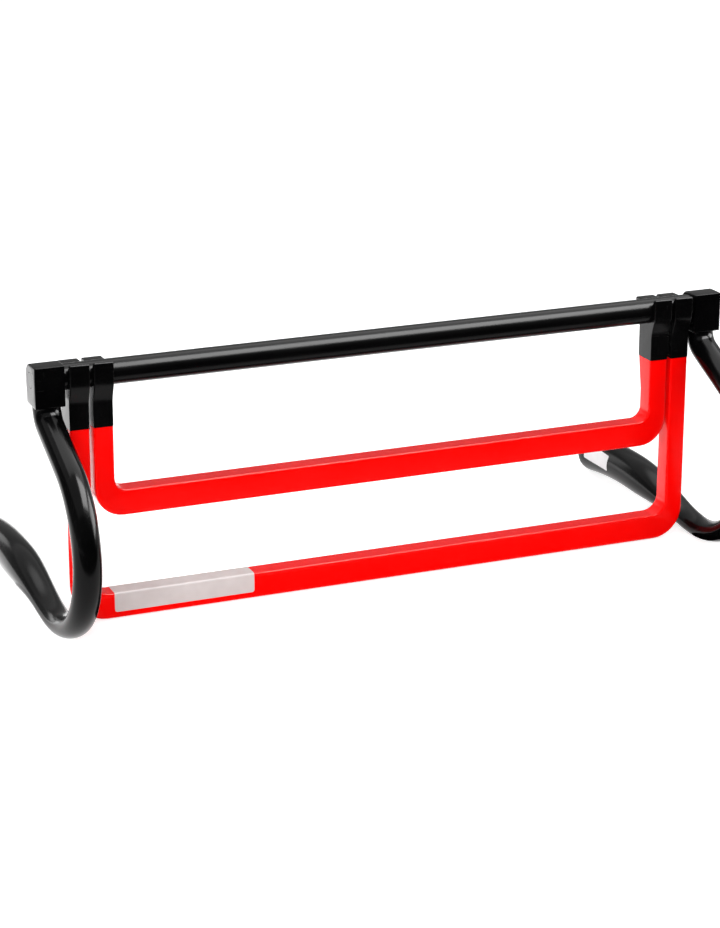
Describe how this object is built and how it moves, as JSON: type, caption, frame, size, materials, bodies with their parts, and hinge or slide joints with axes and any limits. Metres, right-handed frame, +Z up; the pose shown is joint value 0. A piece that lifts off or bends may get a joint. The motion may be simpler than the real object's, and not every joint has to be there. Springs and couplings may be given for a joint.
{
  "type": "agility hurdle",
  "caption": "Free-standing agility hurdle: a round bar on S-shaped legs, with U-shaped rails that hang from it in snap clips and swing up to raise the height.",
  "frame": {"origin": "on the floor, at the middle of the bounding box's base", "axes": "+X along the bar to the right seen from the front, +Y to the back, towards the heels, +Z up"},
  "size_m": [0.641, 0.3222, 0.2277],
  "materials": {
    "black_bar": "glossy black plastic tube",
    "black_leg": "glossy black moulded plastic",
    "black_clip": "black moulded plastic, semi-gloss",
    "red_rail": "bright red plastic, semi-gloss",
    "grey_plug": "dark grey plastic",
    "steel": "plain bright steel"
  },
  "bodies": {
    "stand": {"crossbar": "black_bar", "left_leg": "black_leg", "right_leg": "black_leg", "left_bar_plug": "grey_plug", "left_bar_washer": "steel", "left_bar_bolt": "steel", "left_end_cap": "black_leg", "right_bar_plug": "grey_plug", "right_bar_washer": "steel", "right_bar_bolt": "steel", "right_end_cap": "black_leg"},
    "inner_frame": {"inner_rail": "red_rail", "inner_clip_left": "black_clip", "inner_clip_right": "black_clip", "inner_clip_screw_left": "steel", "inner_clip_screw_right": "steel"},
    "outer_frame": {"outer_rail": "red_rail", "outer_clip_left": "black_clip", "outer_clip_right": "black_clip", "outer_clip_screw_left": "steel", "outer_clip_screw_right": "steel"}
  },
  "joints": [
    {"name": "inner_frame_swing", "type": "hinge", "parent": "stand", "child": "inner_frame", "pos_m": [0, -0.0469, 0.2147], "axis": [1, 0, 0], "continuous": true},
    {"name": "outer_frame_swing", "type": "hinge", "parent": "stand", "child": "outer_frame", "pos_m": [0, -0.0469, 0.2147], "axis": [1, 0, 0], "continuous": true}
  ]
}
